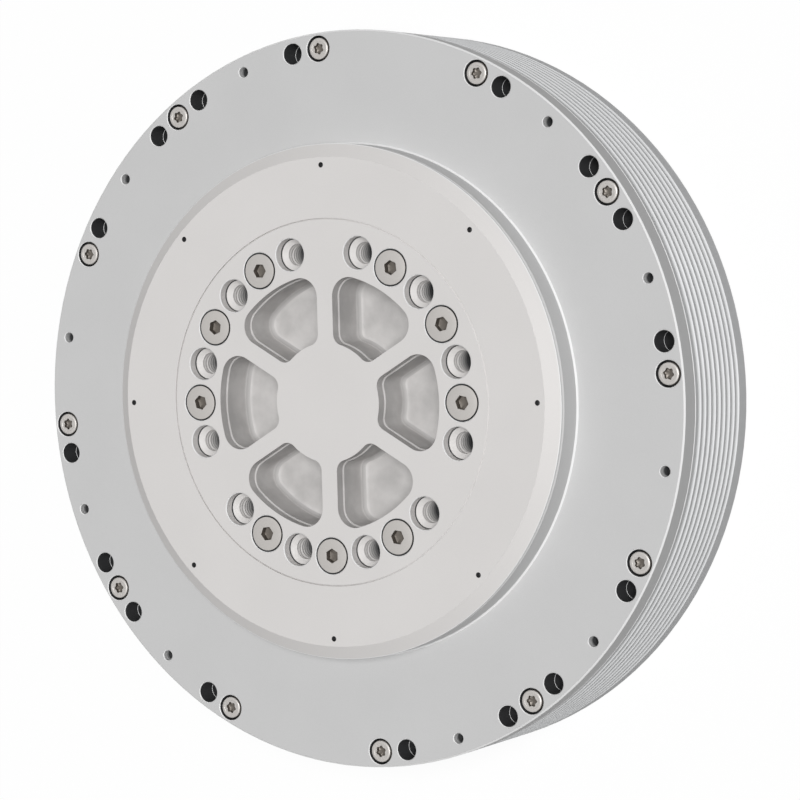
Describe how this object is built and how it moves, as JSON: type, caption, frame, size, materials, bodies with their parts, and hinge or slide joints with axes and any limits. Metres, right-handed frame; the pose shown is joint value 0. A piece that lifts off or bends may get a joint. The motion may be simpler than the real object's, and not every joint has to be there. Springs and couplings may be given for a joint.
{
  "type": "robot joint actuator",
  "caption": "Flat finned motor housing with a bolted front plate and a raised rotating output flange that has rounded pockets, tapped holes and flat-head screws.",
  "frame": {"origin": "centre of the flat rear face, on the joint axis", "axes": "+Z along the joint axis from the rear cover to the output face; +X through a small tapped hole of the rim, and the rim has no small tapped hole on the Y axis"},
  "size_m": [0.23, 0.23, 0.0573],
  "materials": {
    "plate_aluminium": "fine bead-blasted, clear anodised",
    "fin_aluminium": "fine turned, clear anodised",
    "output_aluminium": "satin milled",
    "rotor_aluminium": "turned",
    "screw_steel": "satin stainless",
    "gear_steel": "ground",
    "bearing_steel": "polished",
    "lamination_steel": "stacked sheet, varnished",
    "magnet_alloy": "nickel plated",
    "copper_winding": "enamelled wire",
    "bronze": "plain",
    "seal_rubber": "matt",
    "gasket_rubber": "matt",
    "board_laminate": "solder mask",
    "chip_resin": "moulded",
    "capacitor_can": "bright",
    "socket_plastic": "moulded",
    "contact_brass": "plated"
  },
  "bodies": {
    "housing": {"front_plate": "plate_aluminium", "finned_housing": "fin_aluminium", "rim_screws": "screw_steel", "front_seal": "seal_rubber", "bearing_outer_ring": "bearing_steel", "clamp_ring": "gear_steel", "output_seal": "seal_rubber", "ring_gear": "gear_steel", "ring_gear_screws": "screw_steel", "stator_core": "lamination_steel", "coils": "copper_winding", "rear_cover": "plate_aluminium", "cover_gasket": "gasket_rubber", "cover_screws": "screw_steel", "driver_board": "board_laminate", "board_screws": "screw_steel", "transistors": "chip_resin", "bus_capacitors": "capacitor_can", "encoder_sensor": "chip_resin", "sockets": "socket_plastic", "contacts": "contact_brass", "rear_bearing_outer": "bearing_steel", "rear_bearing_balls": "bearing_steel"},
    "output": {"hub_plate": "output_aluminium", "output_disc": "output_aluminium", "carrier": "output_aluminium", "hub_screws": "screw_steel", "bearing_inner_ring": "bearing_steel", "crossed_rollers": "bearing_steel", "carrier_rear_plate": "rotor_aluminium", "post_screws": "screw_steel", "planet_pins": "gear_steel", "planet_bushes": "bronze", "nose_bush": "bronze"},
    "rotor": {"rotor_hub": "rotor_aluminium", "rotor_yoke": "gear_steel", "magnets": "magnet_alloy", "sun_gear": "gear_steel", "encoder_magnet": "magnet_alloy", "rear_bearing_inner": "bearing_steel"},
    "planet_1": {"planet_gear_1": "gear_steel"},
    "planet_2": {"planet_gear_2": "gear_steel"},
    "planet_3": {"planet_gear_3": "gear_steel"}
  },
  "joints": [
    {"name": "output_spin", "type": "hinge", "parent": "housing", "child": "output", "pos_m": [0, 0, 0.05735], "axis": [0, 0, 1], "continuous": true},
    {"name": "rotor_spin", "type": "hinge", "parent": "housing", "child": "rotor", "pos_m": [0, 0, 0.0075], "axis": [0, 0, 1], "continuous": true},
    {"name": "planet_1_spin", "type": "hinge", "parent": "output", "child": "planet_1", "pos_m": [-0.00596, 0.03093, 0.0245], "axis": [0, 0, 1], "continuous": true},
    {"name": "planet_2_spin", "type": "hinge", "parent": "output", "child": "planet_2", "pos_m": [-0.02381, -0.02062, 0.0245], "axis": [0, 0, 1], "continuous": true},
    {"name": "planet_3_spin", "type": "hinge", "parent": "output", "child": "planet_3", "pos_m": [0.02977, -0.01031, 0.0245], "axis": [0, 0, 1], "continuous": true}
  ],
  "couplings": [
    {"joint": "rotor_spin", "follows": "output_spin", "ratio": 6},
    {"joint": "planet_1_spin", "follows": "output_spin", "ratio": -2.5},
    {"joint": "planet_2_spin", "follows": "output_spin", "ratio": -2.5},
    {"joint": "planet_3_spin", "follows": "output_spin", "ratio": -2.5}
  ]
}
